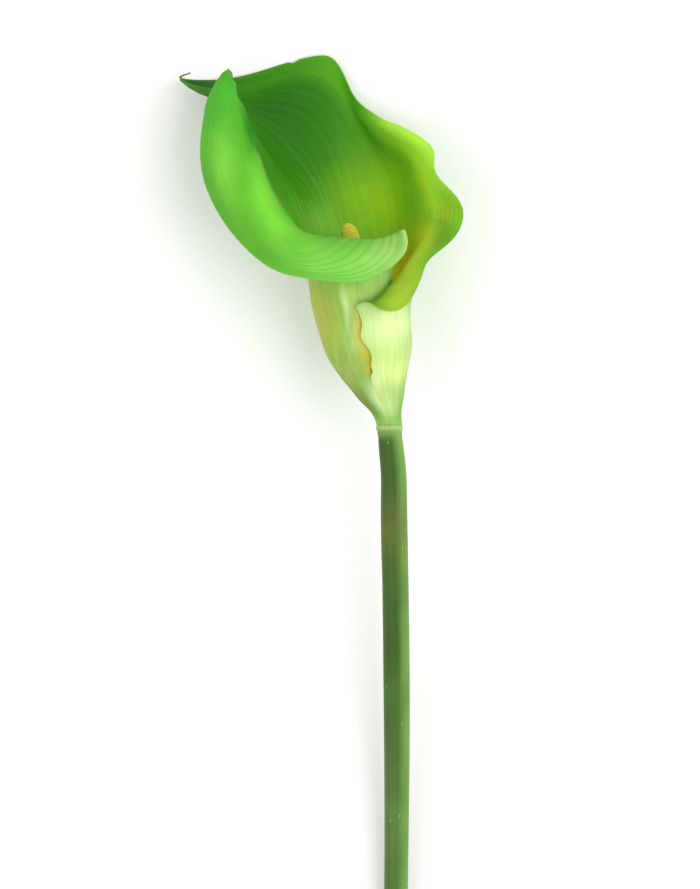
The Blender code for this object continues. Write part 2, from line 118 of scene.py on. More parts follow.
# The veins that shape the open part, each with its place across the sheet, from the left margin (0)
# over the midrib (0.5) to the right margin (1), and its points: station, x, y, z.
VEINS = [
    (0.0, [
        (4.5, 0.8, 53.5, 14.0), (5.0, 1.4, 62.0, 16.0), (5.25, 3.6, 70.0, 19.4), (5.5, 5.9, 77.4, 22.9),
        (5.65, 7.2, 72.5, 27.5), (5.85, 4.2, 65.5, 30.0), (6.1, -5.0, 58.8, 31.0),
        (6.35, -15.0, 56.4, 31.5), (6.7, -33.0, 58.0, 28.0), (7.1, -48.0, 62.5, 21.0),
        (7.5, -61.0, 74.0, 12.0), (7.9, -70.0, 87.2, 5.0), (8.3, -75.0, 101.0, 1.0),
        (8.6, -75.6, 113.0, 0.0), (8.9, -74.0, 125.0, -1.0), (9.1, -71.0, 134.0, -2.0),
        (9.23, -65.2, 142.0, -2.5), (9.37, -62.8, 138.2, -9.0), (9.6, -68.7, 134.3, -15.6),
    ]),
    (0.0625, [
        (4.5, -4.8, 53.5, 17.4), (5.0, -4.8, 61.6, 19.8), (5.5, -4.5, 73.3, 25.5),
        (5.75, -6.5, 70.0, 31.0), (6.1, -13.0, 64.0, 33.5), (6.45, -24.0, 61.0, 32.0),
        (6.9, -41.0, 63.5, 26.0), (7.35, -55.0, 73.0, 18.0), (7.8, -65.5, 86.5, 11.0),
        (8.25, -71.5, 102.0, 7.0), (8.7, -72.0, 118.0, 5.0), (9.0, -69.5, 130.0, 2.5),
        (9.2, -65.4, 138.6, 1.0), (9.37, -62.6, 136.0, -8.0), (9.6, -69.8, 132.9, -18.1),
    ]),
    (0.125, [
        (5.0, -15.5, 61.0, 21.5), (5.5, -16.0, 73.4, 26.0), (5.8, -19.5, 71.5, 31.0),
        (6.2, -27.0, 67.0, 32.5), (6.6, -37.0, 66.0, 29.5), (7.0, -47.0, 70.5, 25.0),
        (7.4, -56.0, 79.0, 20.0), (7.8, -62.5, 90.0, 15.5), (8.2, -66.0, 103.0, 12.5),
        (8.6, -67.0, 116.0, 10.0), (8.9, -65.6, 127.5, 6.0), (9.15, -62.6, 136.6, 0.0),
        (9.35, -63.0, 134.5, -10.0), (9.6, -70.6, 131.7, -20.3),
    ]),
    (0.25, [
        (5.0, -30.1, 61.0, 10.4), (5.5, -34.0, 73.0, 14.0), (6.0, -38.6, 79.8, 17.0),
        (6.5, -44.4, 86.2, 17.5), (7.0, -49.0, 94.0, 16.5), (7.5, -52.4, 103.0, 14.5),
        (8.0, -54.6, 112.0, 11.5), (8.4, -56.6, 120.6, 7.5), (8.8, -59.6, 128.6, 0.0),
        (9.2, -64.5, 131.0, -12.0), (9.6, -72.4, 131.5, -23.6),
    ]),
    (0.375, [
        (5.0, -31.4, 61.0, -8.0), (5.5, -33.0, 73.0, -10.0), (6.0, -35.2, 83.0, -12.0),
        (6.5, -38.6, 92.0, -13.0), (7.0, -43.2, 99.6, -13.5), (7.5, -48.4, 107.0, -14.5),
        (8.0, -53.8, 114.5, -16.0), (8.5, -60.0, 120.5, -19.0), (9.0, -66.5, 125.5, -22.5),
        (9.6, -74.5, 132.6, -26.8),
    ]),
    (0.5, [
        (5.0, -18.3, 61.0, -21.0), (5.5, -22.0, 74.0, -26.0), (6.0, -25.4, 84.5, -30.0),
        (6.5, -29.2, 94.0, -33.0), (7.0, -34.2, 102.3, -34.6), (7.5, -40.3, 110.0, -34.8),
        (8.0, -47.0, 117.0, -34.0), (8.5, -55.0, 122.8, -32.8), (9.0, -64.0, 128.5, -31.6),
        (9.5, -73.3, 133.4, -30.0),
    ]),
    (0.5625, [
        (5.0, -9.4, 61.0, -22.4), (5.5, -12.4, 74.5, -28.0), (6.0, -15.6, 87.0, -33.0),
        (6.5, -18.8, 99.5, -36.6), (7.0, -23.0, 111.2, -37.4), (7.5, -29.8, 121.6, -37.0),
        (8.0, -39.0, 127.4, -35.8), (8.5, -49.6, 128.6, -34.4), (9.0, -61.5, 129.8, -33.4),
        (9.5, -73.0, 134.4, -31.4),
    ]),
    (0.625, [
        (5.0, -0.2, 61.0, -19.8), (5.5, -1.6, 75.0, -27.0), (6.0, -3.4, 89.0, -34.8),
        (6.5, -7.6, 102.8, -39.8), (7.0, -14.2, 115.6, -38.6), (7.5, -21.8, 128.0, -37.6),
        (8.0, -31.0, 135.4, -37.2), (8.5, -44.0, 136.0, -36.2), (9.0, -58.3, 132.6, -35.4),
        (9.5, -72.4, 135.3, -32.6),
    ]),
    (0.75, [
        (5.0, 9.6, 61.5, -4.0), (5.4, 10.2, 74.0, -9.5), (5.8, 10.4, 86.6, -17.0),
        (6.1, 8.8, 97.6, -24.0), (6.4, 4.4, 106.2, -30.0), (6.7, -4.4, 113.4, -34.4),
        (7.0, -10.0, 119.9, -36.2), (7.4, -16.2, 128.4, -37.8), (7.8, -21.6, 136.4, -38.6),
        (8.2, -29.0, 140.8, -38.6), (8.6, -40.0, 140.6, -37.8), (9.0, -54.2, 136.8, -37.0),
        (9.5, -71.0, 136.7, -34.2),
    ]),
    (0.875, [
        (4.5, 3.4, 53.0, 14.2), (5.0, 7.4, 64.0, 13.0), (5.3, 12.4, 71.0, 7.6), (5.6, 17.2, 78.5, 1.4),
        (5.8, 17.8, 86.4, -5.0), (6.0, 15.4, 94.6, -11.4), (6.2, 12.4, 103.0, -17.0),
        (6.4, 7.0, 109.8, -22.6), (6.7, -3.2, 116.6, -29.6), (7.0, -10.0, 122.2, -33.2),
        (7.4, -15.0, 130.2, -36.0), (7.8, -19.6, 138.4, -37.8), (8.1, -24.4, 143.0, -38.6),
        (8.5, -34.0, 143.6, -38.8), (9.0, -51.4, 139.8, -38.2), (9.5, -69.7, 137.7, -35.6),
    ]),
    (0.9375, [
        (4.3, -3.9, 49.6, 19.4), (4.6, -0.8, 53.6, 21.4), (4.9, 4.6, 58.2, 20.2),
        (5.15, 10.0, 64.0, 16.0), (5.4, 15.6, 70.4, 9.8), (5.6, 20.8, 76.6, 4.0),
        (5.8, 22.8, 86.0, -3.0), (6.0, 18.6, 95.6, -9.4), (6.2, 14.9, 106.4, -15.4),
        (6.4, 9.4, 112.6, -20.4), (6.7, -1.0, 118.4, -27.2), (7.0, -8.2, 123.4, -31.2),
        (7.4, -14.4, 131.0, -34.4), (7.8, -18.8, 139.6, -37.0), (8.05, -22.6, 144.6, -38.4),
        (8.4, -30.5, 146.0, -38.9), (9.0, -50.2, 141.2, -39.2), (9.5, -69.1, 138.1, -36.6),
    ]),
    (1.0, [
        (4.12, -13.0, 47.4, 20.8), (4.25, -9.6, 48.6, 23.6), (4.4, -6.0, 46.9, 27.0),
        (4.6, -0.8, 44.9, 28.8), (4.8, 5.0, 46.2, 28.0), (4.95, 8.4, 49.6, 25.8),
        (5.1, 10.8, 54.0, 23.0), (5.25, 13.0, 59.4, 19.5), (5.4, 15.8, 65.6, 14.6),
        (5.5, 20.5, 69.6, 10.2), (5.6, 25.4, 74.0, 5.8), (5.7, 28.8, 79.6, 2.0), (5.8, 29.4, 86.0, -1.6),
        (5.92, 25.4, 92.8, -5.6), (6.04, 20.4, 97.8, -8.8), (6.14, 17.8, 102.6, -11.4),
        (6.24, 18.0, 108.6, -13.8), (6.34, 15.0, 113.2, -16.6), (6.5, 6.6, 118.6, -21.6),
        (6.75, -1.0, 121.6, -25.8), (7.0, -6.2, 124.6, -28.8), (7.3, -12.4, 129.4, -31.8),
        (7.6, -16.2, 135.6, -34.6), (7.9, -19.6, 143.0, -37.0), (8.1, -23.0, 147.2, -38.2),
        (8.4, -30.0, 148.0, -38.8), (8.7, -39.0, 146.0, -39.6), (9.0, -49.2, 142.8, -40.0),
        (9.5, -68.5, 138.5, -37.4),
    ]),
]
APEX = (10.0, -84.3, 138.8, -29.6)
TAIL = (10.3, -79.8, 141.0, -27.5)
APEX_HALF_WIDTH = 1.2
TAIL_HALF_WIDTH = 0.6
GUTTER_LEAN = 0.3
GUTTER_DEPTH = 0.6
TUCK_FROM = 0.13  # across the sheet, from here the left side comes out from under the right one
TUCK_FADE = 0.2

COLUMNS = 330  # faces across the sheet
ROWS = [(0.0, 1.75, 10), (1.75, 2.4, 10), (2.4, 4.0, 18), (4.0, 6.4, 56), (6.4, 8.9, 34), (8.9, 9.6, 12),
        (9.6, 10.3, 6)]  # stations, and the rows between them; closest where the margins curl most
SEAM_END = 1.75  # the station where the foot's seam opens
TIP_FROM = -74.0  # left of this the sheet is a narrow point
TIP_MERGE = 0.12  # and its points are merged when they lie this close
TIP_TAPER = 16.0  # the length over which the point thins
TIP_SHARE = 0.3  # the thickness left at the very tip

# Creases over the sheet, each a vein with a shallow fold: across, and how strongly it shows (0 to 1).
CREASES = [
    (0.0, 0.0), (0.019, 0.8), (0.033, 1.0), (0.05, 0.9), (0.073, 1.0), (0.094, 0.9), (0.116, 0.9),
    (0.142, 0.6), (0.17, 0.4), (0.205, 0.3), (0.252, 0.3), (0.3, 0.25), (0.345, 0.3), (0.377, 0.9),
    (0.402, 0.4), (0.43, 0.3), (0.458, 0.3), (0.481, 0.25), (0.503, 0.3), (0.518, 0.25), (0.535, 0.3),
    (0.557, 0.25), (0.575, 0.25), (0.604, 0.3), (0.637, 0.25), (0.662, 0.3), (0.7, 0.2), (0.737, 0.25),
    (0.765, 0.2), (0.79, 0.25), (0.815, 0.15), (0.84, 0.2), (0.862, 0.15), (0.885, 0.25), (0.905, 0.15),
    (0.925, 0.2), (0.943, 0.15), (0.96, 0.2), (0.976, 0.15), (0.989, 0.15), (1.0, 0.0),
]
CREASE_DEPTH = 0.1  # height of the bulge between two creases, as a share of their distance
WIDEST_BULGE = 5.0  # creases that lie further apart bulge no more than at this distance
CREASE_WIDTH = 0.34  # reach of a crease's bottom
# Where the creases show, along the sheet: station and share. On the foot the skin only has fine ribs.
CREASE_SHOWS = [
    (0.0, 0.0), (4.2, 0.0), (5.0, 0.5), (5.5, 1.0), (6.5, 1.0), (7.1, 0.4), (8.2, 0.3), (9.2, 0.1),
    (10.3, 0.0),
]
# The middle of the turned-down left side, where the bottoms of the creases get painted shade and not pale
# veins: across, reach, station, reach.
FLAP = (0.07, 0.13, 6.3, 1.6)
FLAP_SHARPNESS = 2.5  # how quickly they turn pale outside it

# Bites in the free right margin: station, length in stations, depth as a share of the width.
BITES = [
    (2.2, 0.14, 0.008), (2.98, 0.12, 0.004), (3.3, 0.1, -0.003), (3.62, 0.12, 0.003), (8.68, 0.035, 0.03),
]
BITE_FROM = 0.9  # across the sheet, no fibre left of this moves for a bite

# Fine ribs on the outside: how many across the sheet, the seed of their heights, and their share.
RIBS = [(110, 3, 1.0), (260, 4, 0.6)]
RIBS_RISE = 0.8  # stations over which they rise from the foot
RIBS_END = 9.4  # the station where they end
RIBS_FADE = 1.5  # and the stations over which they fade before it

MARGIN_REACH = 7.0  # the sheet thins over this distance from a free margin
ROUND_REACH = 0.5  # its edge is rounded over this distance
ROUND_SHARE = 0.45  # and loses this share of its thickness
OPENING = 0.5  # stations over which the free margins begin, above the seam

# Painted shade: where the turned-down left side folds away from the light, the green steps to a darker one
# along this line: station, across.
PAINTED_SHADE_LINE = [(6.2, 0.262), (7.6, 0.264), (8.2, 0.225), (8.8, 0.2)]
PAINTED_SHADE_SHARE = 0.6  # how much darker the painted shade makes it
FOLD_EDGE = 0.012  # across, the width of the step
FOLD_REACH = 0.06  # across, how far the shade reaches beyond it
FOLD_MIDDLE = 7.3  # the station where it is strongest
FOLD_LENGTH = 1.2  # and over how many stations it fades from there


def spread(value, centre, reach):
    """A soft spot: 1 at the centre, falling away over the reach."""
    return np.exp(-(((value - centre) / reach) ** 2))


def ease(t):
    """A share that rises smoothly from 0 to 1 as t does."""
    t = np.clip(t, 0.0, 1.0)
    return t * t * (3 - 2 * t)


def hex_to_linear(code):
    """An sRGB hex colour as linear red, green and blue."""
    shares = [int(code[i : i + 2], 16) / 255 for i in (0, 2, 4)]
    return tuple(c / 12.92 if c <= 0.04045 else ((c + 0.055) / 1.055) ** 2.4 for c in shares)


# Stains, and painted light and shade, on each side of the spathe over its ground colour: colour, across,
# reach, station, reach, strength.
INSIDE_STAINS_LIGHT_AND_SHADE = [
    # Partly pigment, partly painted shade: the back wall darkens deep in the bowl and towards its upper left,
    # under the turned-down side.
    ("3E8A0C", 0.45, 0.22, 7.4, 1.6, 0.97),
    ("226A04", 0.57, 0.14, 8.3, 1.3, 0.95),
    ("84C444", 0.44, 0.12, 5.7, 0.5, 0.8),
    ("9CCC18", 0.64, 0.1, 6.0, 0.6, 0.9),
    ("A4D420", 0.86, 0.12, 6.1, 0.6, 0.9),
    ("52A00E", 0.84, 0.15, 7.7, 0.9, 0.85),
    ("2E8008", 0.84, 0.2, 9.0, 0.7, 0.9),
    # Painted highlight: a pale bright band along the rolled right rim.
    ("BCF248", 0.98, 0.05, 6.5, 0.5, 0.9),
    ("467E0C", 0.95, 0.07, 5.55, 0.16, 0.95),
    ("74A010", 0.96, 0.05, 5.86, 0.14, 0.85),
    ("9C8C30", 0.93, 0.02, 5.74, 0.05, 0.4),
    ("3C6A10", 0.9, 0.06, 5.66, 0.022, 0.5),
    # Painted light: this yellow brightens the shaded crevice of the throat between the turned-down side and
    # the curl.
    ("C4D41C", 0.8, 0.12, 5.35, 0.28, 0.95),
    ("A2BE36", 0.98, 0.05, 4.8, 0.4, 0.9),
    # Painted light: the next two yellows glow in the same shaded crevice.
    ("D4C81C", 0.85, 0.08, 5.0, 0.25, 0.9),
    ("F0D81C", 0.68, 0.12, 4.95, 0.35, 0.95),
    ("82CE52", 0.07, 0.1, 6.3, 0.7, 0.9),
    ("9CC86A", 0.03, 0.04, 5.8, 0.35, 0.8),
    # Painted highlight: a thin pale line along the left margin's edge.
    ("E0EBA4", 0.0, 0.007, 5.4, 0.3, 0.9),
    # Painted shade: the left margin darkens where it rolls away from the light.
    ("5FAA2A", 0.07, 0.06, 7.4, 0.5, 0.8),
    # Painted light and shade: a lit strip on the turned-down left side, and on the next line the shaded wall
    # just past its fold.
    ("7AD43C", 0.215, 0.06, 6.95, 0.95, 0.95),
    ("3C9C14", 0.315, 0.03, 7.2, 1.1, 0.8),
    ("44B42E", 0.11, 0.1, 9.05, 0.6, 0.85),
    ("8CE04A", 0.13, 0.06, 8.2, 0.5, 0.6),
    # Painted shade on the wall just past the fold.
    ("1C8C0C", 0.255, 0.04, 8.35, 0.5, 1.0),
    # Painted shade: the tip's narrow gutter in deep dark green.
    ("124C06", 0.5, 0.8, 9.75, 0.45, 1.0),
]
OUTSIDE_STAINS_AND_SHADE = [
    ("ACB24C", 0.28, 0.13, 3.7, 1.6, 0.95),
    ("707C2E", 0.2, 0.14, 1.0, 0.8, 1.0),
    ("B4CE78", 0.07, 0.07, 3.6, 1.2, 0.9),
    ("ACD46E", 0.06, 0.07, 4.6, 0.6, 0.9),
    ("DCE8B0", 0.145, 0.01, 4.1, 0.6, 0.45),
    ("C8D28C", 0.12, 0.01, 3.1, 0.7, 0.3),
    ("A2AC58", 0.13, 0.07, 2.2, 0.6, 0.8),
    ("C0C87C", 0.19, 0.01, 2.6, 0.8, 0.3),
    ("E4F8AE", 0.9, 0.13, 3.6, 0.8, 1.0),
    ("D4E890", 0.88, 0.15, 2.3, 0.9, 0.95),
    ("B8E078", 0.9, 0.03, 2.6, 0.4, 0.5),
    ("CCD498", 0.97, 0.04, 1.7, 0.6, 0.7),
    ("CCD89C", 0.0, 0.055, 1.1, 0.75, 0.95),
    ("C4DC90", 0.95, 0.12, 0.9, 0.7, 0.8),
    ("94BE62", 0.5, 0.8, 0.0, 0.28, 0.9),
    # Painted shade: a yellow-brown shadow in the slit under the overlapping right margin.
    ("C8B428", 0.0, 0.035, 2.45, 0.35, 1.0),
    ("C8B428", 0.055, 0.022, 2.9, 0.25, 1.0),
    ("D6BC34", 0.09, 0.018, 3.3, 0.22, 1.0),
    ("D0B434", 0.104, 0.013, 3.7, 0.25, 0.9),
    # Painted shade: the tip's narrow gutter in deep dark green.
    ("124C06", 0.5, 0.8, 9.85, 0.6, 1.0),
]


class SheetSettings(bpy.types.PropertyGroup):
    """Sizes and colours of the spathe"""

    thickness: FloatProperty(
        name="Thickness", description="Thickness of the spathe away from its margins", default=0.95 * MM,
        min=0.4 * MM, max=2 * MM, precision=5, subtype="DISTANCE", unit="LENGTH")
    margin: FloatProperty(
        name="Margin", description="Thickness of the spathe at its free margins", default=0.5 * MM,
        min=0.2 * MM, max=1.2 * MM, precision=5, subtype="DISTANCE", unit="LENGTH")
    rib: FloatProperty(
        name="Rib height", description="Height of the fine ribs on the outside", default=0.05 * MM,
        min=0, max=0.5 * MM, precision=5, subtype="DISTANCE", unit="LENGTH")
    inside: FloatVectorProperty(
        name="Inside", description="Ground colour of the inner face", subtype="COLOR",
        default=hex_to_linear("54A224"), min=0, max=1)
    outside: FloatVectorProperty(
        name="Outside", description="Ground colour of the outer face", subtype="COLOR",
        default=hex_to_linear("6AA83A"), min=0, max=1)
    light: FloatProperty(
        name="Glow", description="How much light soaks through the flesh", default=0.2, min=0, max=1,
        subtype="FACTOR")


class SpadixSettings(bpy.types.PropertyGroup):
    """Size and colour of the spadix's tiny flowers"""

    flower: FloatProperty(
        name="Flower size", description="Width of one of the tiny flowers", default=0.98 * MM,
        min=0.6 * MM, max=2 * MM, precision=5, subtype="DISTANCE", unit="LENGTH")
    pollen: FloatVectorProperty(
        name="Pollen", description="Colour of the pollen on the flowers", subtype="COLOR",
        default=hex_to_linear("DCD238"), min=0, max=1)


class StemSettings(bpy.types.PropertyGroup):
    """Fineness and colours of the stem"""

    sides: IntProperty(
        name="Sides", description="Faces round the stem", default=84, min=24, max=200)
    line: FloatProperty(
        name="Line height", description="Height of the fine lengthwise lines", default=0.05 * MM,
        min=0, max=0.5 * MM, precision=5, subtype="DISTANCE", unit="LENGTH")
    skin: FloatVectorProperty(
        name="Skin", description="Ground colour of the stem's skin", subtype="COLOR",
        default=hex_to_linear("3A5C18"), min=0, max=1)
    flesh: FloatVectorProperty(
        name="Flesh", description="Colour of the cut flesh", subtype="COLOR",
        default=hex_to_linear("CFE0A8"), min=0, max=1)


class StudioSettings(bpy.types.PropertyGroup):
    """Floor, light and camera"""

    floor: FloatVectorProperty(
        name="Floor", description="Colour of the floor", subtype="COLOR",
        default=hex_to_linear("FAFAF8"), min=0, max=1)
    key: FloatProperty(
        name="Key light", description="Power of the main light", default=13.5, min=0, unit="POWER")
    distance: FloatProperty(
        name="Camera distance", description="Height of the camera above the ring", default=7, min=0.5, max=10,
        subtype="DISTANCE", unit="LENGTH")


def add_node(tree, kind, inputs=(), **settings):
    """Add a shader node; inputs pair a socket's name or number with a value or with the socket to link."""
    node = tree.nodes.new("ShaderNode" + kind)
    for name, value in settings.items():
        setattr(node, name, value)
    for name, value in inputs:
        if isinstance(value, bpy.types.NodeSocket):
            tree.links.new(value, node.inputs[name])
        else:
            node.inputs[name].default_value = value
    return node


def new_material(name):
    """An empty node material with its Principled shader."""
    material = bpy.data.materials.new(name)
    material.use_nodes = True
    return material, material.node_tree, material.node_tree.nodes["Principled BSDF"]


def spline_weights(knots, places):
    """Weights that carry values at the knots to a natural cubic spline's values at the places."""
    knots = np.asarray(knots, float)
    gap = np.diff(knots)
    count = len(knots)
    system = np.eye(count)
    load = np.zeros((count, count))
    for i in range(1, count - 1):
        system[i, i - 1 : i + 2] = gap[i - 1], 2 * (gap[i - 1] + gap[i]), gap[i]
        load[i, i - 1 : i + 2] = 6 / gap[i - 1], -6 / gap[i - 1] - 6 / gap[i], 6 / gap[i]
    bend = np.linalg.solve(system, load)
    rows = []
    for place in places:
        i = int(np.clip(np.searchsorted(knots, place, side="right") - 1, 0, count - 2))
        after = (place - knots[i]) / gap[i]
        before = 1 - after
        row = ((before**3 - before) * bend[i] + (after**3 - after) * bend[i + 1]) * gap[i] ** 2 / 6
        row[i] += before
        row[i + 1] += after
        rows.append(row)
    return np.array(rows)


def funnel_point(across, row):
    """A point of the closed foot at one station, on the sheet's middle surface."""
    _, height, centre, radius, left, right, tuck = row
    azimuth = math.radians(left + (right - left) * across)
    tucked = tuck * (1 - ease((across - TUCK_FROM) / TUCK_FADE)) * (SHEET + SEAM_GAP)
    middle = radius - SHEET / 2 - tucked
    return centre - middle * math.sin(azimuth), height, middle * math.cos(azimuth)


def tip_point(across, row, half_width):
    """A point of the narrow gutter in which the sheet ends: a leaning parabola that stands on edge."""
    side = 2 * across - 1
    _, x, y, z = row
    y += half_width * (GUTTER_LEAN * (side - 1) + GUTTER_DEPTH * side * side)
    return x, y, z - half_width * side


def vein_points(across, free, stations):
    """The vein at this place across the sheet, at each station."""
    knots = [row[0] for row in FUNNEL] + [row[0] for row in free] + [APEX[0], TAIL[0]]
    places = [funnel_point(across, row) for row in FUNNEL] + [row[1:] for row in free]
    places += [tip_point(across, APEX, APEX_HALF_WIDTH), tip_point(across, TAIL, TAIL_HALF_WIDTH)]
    return spline_weights(knots, stations) @ np.array(places)


def spathe_surface(across, stations):
    """The sheet's middle surface as an array of points, [station, across, xyz]."""
    veins = np.array([vein_points(place, free, stations) for place, free in VEINS])
    weights = spline_weights([place for place, _ in VEINS], across)
    return np.einsum("av,vsk->sak", weights, veins)


def row_stations(rows):
    """Where a mesh has its rows, from runs of first place, last place and number of steps between them."""
    runs = [np.linspace(first, last, count, endpoint=False) for first, last, count in rows]
    return np.append(np.concatenate(runs), rows[-1][1])


def spathe_skin(name, settings, roughness, streak_share):
    """Living spathe flesh, watery and waxy: a soft satin gloss, and light that soaks into the thin sheet."""
    material, tree, shader = new_material(name)
    tint = add_node(tree, "VertexColor", layer_name="tint")
    vein = add_node(tree, "Attribute", attribute_name="vein")
    sheet = add_node(tree, "UVMap", uv_map="sheet")
    place = add_node(tree, "TexCoord")
    # Fibres run along the veins: about 0.9 mm apart and 30 mm long on a sheet some 200 mm wide and long.
    along = add_node(tree, "Mapping", [(0, sheet.outputs[0]), ("Scale", (220, 7, 1))])
    fibre = add_node(tree, "TexNoise", [("Vector", along.outputs[0]), ("Scale", 1), ("Detail", 3)])
    fine_along = add_node(tree, "Mapping", [(0, sheet.outputs[0]), ("Scale", (70, 3, 1))])
    band = add_node(tree, "TexNoise", [("Vector", fine_along.outputs[0]), ("Scale", 1), ("Detail", 2)])
    # Cloudy patches about 12 mm wide.
    cloud = add_node(tree, "TexNoise", [("Vector", place.outputs["Object"]), ("Scale", 80), ("Detail", 3)])
    # Stomata and cells are far finer; the grain is drawn at 0.5 mm so that it shows.
    grain = add_node(tree, "TexNoise", [("Vector", place.outputs["Object"]), ("Scale", 2000), ("Detail", 1)])
    # Specks of 0.3 to 0.5 mm, one in each few cells of 14 mm.
    speck = add_node(tree, "TexVoronoi", [("Vector", place.outputs["Object"]), ("Scale", 70)])
    dot = add_node(tree, "MapRange", [(0, speck.outputs["Distance"]), (1, 0.018), (2, 0.034), (3, 1.0),
                                      (4, 0.0)])
    lot = add_node(tree, "SeparateColor", [(0, speck.outputs["Color"])])
    chosen = add_node(tree, "Math", [(0, lot.outputs[0]), (1, 0.55)], operation="GREATER_THAN")
    spots = add_node(tree, "Math", [(0, dot.outputs[0]), (1, chosen.outputs[0])], operation="MULTIPLY")

    fibres = add_node(tree, "MapRange", [(0, fibre.outputs[0]), (1, 0.3), (2, 0.7), (3, 1 - streak_share),
                                         (4, 1 + streak_share)])
    bands = add_node(tree, "MapRange", [(0, band.outputs[0]), (1, 0.3), (2, 0.7), (3, 1 - streak_share),
                                        (4, 1 + streak_share)])
    clouds = add_node(tree, "MapRange", [(0, cloud.outputs[0]), (1, 0.3), (2, 0.7), (3, 0.93), (4, 1.07)])
    light = add_node(tree, "Math", [(0, fibres.outputs[0]), (1, bands.outputs[0])], operation="MULTIPLY")
    light = add_node(tree, "Math", [(0, light.outputs[0]), (1, clouds.outputs[0])], operation="MULTIPLY")
    shaded = add_node(tree, "VectorMath", [(0, tint.outputs[0]), ("Scale", light.outputs[0])],
                      operation="SCALE")
    # The veins carry less green than the flesh between them; the bottoms of the creases get painted shade, a
    # darker green.
    pale = add_node(tree, "MapRange", [(0, vein.outputs["Fac"]), (1, 0.0), (2, 1.0), (3, 0.0), (4, 0.45)])
    crease_shade = add_node(tree, "MapRange", [(0, vein.outputs["Fac"]), (1, 0.0), (2, -1.0), (3, 0.0), (4, 0.4)])
    lit = add_node(tree, "Mix", [("Factor", pale.outputs[0]), (6, shaded.outputs[0]),
                                 (7, (*hex_to_linear("B9E07A"), 1))], data_type="RGBA")
    dark = add_node(tree, "Mix", [("Factor", crease_shade.outputs[0]), (6, lit.outputs[2]),
                                  (7, (*hex_to_linear("3A9A1E"), 1))], data_type="RGBA")
    spotted = add_node(tree, "Mix", [("Factor", spots.outputs[0]), (6, dark.outputs[2]),
                                     (7, (*hex_to_linear("2F5A12"), 1))], data_type="RGBA")
    tree.links.new(spotted.outputs[2], shader.inputs["Base Color"])

    gloss = add_node(tree, "MapRange", [(0, cloud.outputs[0]), (1, 0.3), (2, 0.7), (3, roughness - 0.06),
                                        (4, roughness + 0.08)])
    tree.links.new(gloss.outputs[0], shader.inputs["Roughness"])
    ribs = add_node(tree, "Bump", [("Height", fibre.outputs[0]), ("Strength", 0.25), ("Distance", 0.1 * MM)])
    skin = add_node(tree, "Bump", [("Height", grain.outputs[0]), ("Strength", 0.2), ("Distance", 0.03 * MM),
                                   ("Normal", ribs.outputs[0])])
    tree.links.new(skin.outputs[0], shader.inputs["Normal"])
    shader.inputs["IOR"].default_value = 1.4
    shader.inputs["Specular IOR Level"].default_value = 0.15
    shader.inputs["Subsurface Weight"].default_value = settings.light
    shader.inputs["Subsurface Radius"].default_value = (0.6, 1.0, 0.25)
    shader.inputs["Subsurface Scale"].default_value = 2.5 * MM
    return material


def pollen_flesh():
    """Tiny yellow flowers dusted with pollen: matt and powdery, deeper yellow between the grains."""
    material, tree, shader = new_material("powdery_pollen")
    place = add_node(tree, "TexCoord")
    flower = add_node(tree, "VertexColor", layer_name="tint")
    # Pollen is drawn at 0.3 mm, coarser than the real grains, so that it shows.
    dust = add_node(tree, "TexNoise", [("Vector", place.outputs["Object"]), ("Scale", 3300), ("Detail", 2)])
    powder = add_node(tree, "MapRange", [(0, dust.outputs[0]), (1, 0.35), (2, 0.65), (3, 0.9), (4, 1.1)])
    colour = add_node(tree, "VectorMath", [(0, flower.outputs[0]), ("Scale", powder.outputs[0])],
                      operation="SCALE")
    tree.links.new(colour.outputs[0], shader.inputs["Base Color"])
    bump = add_node(tree, "Bump", [("Height", dust.outputs[0]), ("Strength", 0.3), ("Distance", 0.06 * MM)])
    tree.links.new(bump.outputs[0], shader.inputs["Normal"])
    shader.inputs["Roughness"].default_value = 0.8
    shader.inputs["Subsurface Weight"].default_value = 0.2
    shader.inputs["Subsurface Radius"].default_value = (1.0, 0.7, 0.1)
    shader.inputs["Subsurface Scale"].default_value = 1 * MM
    return material


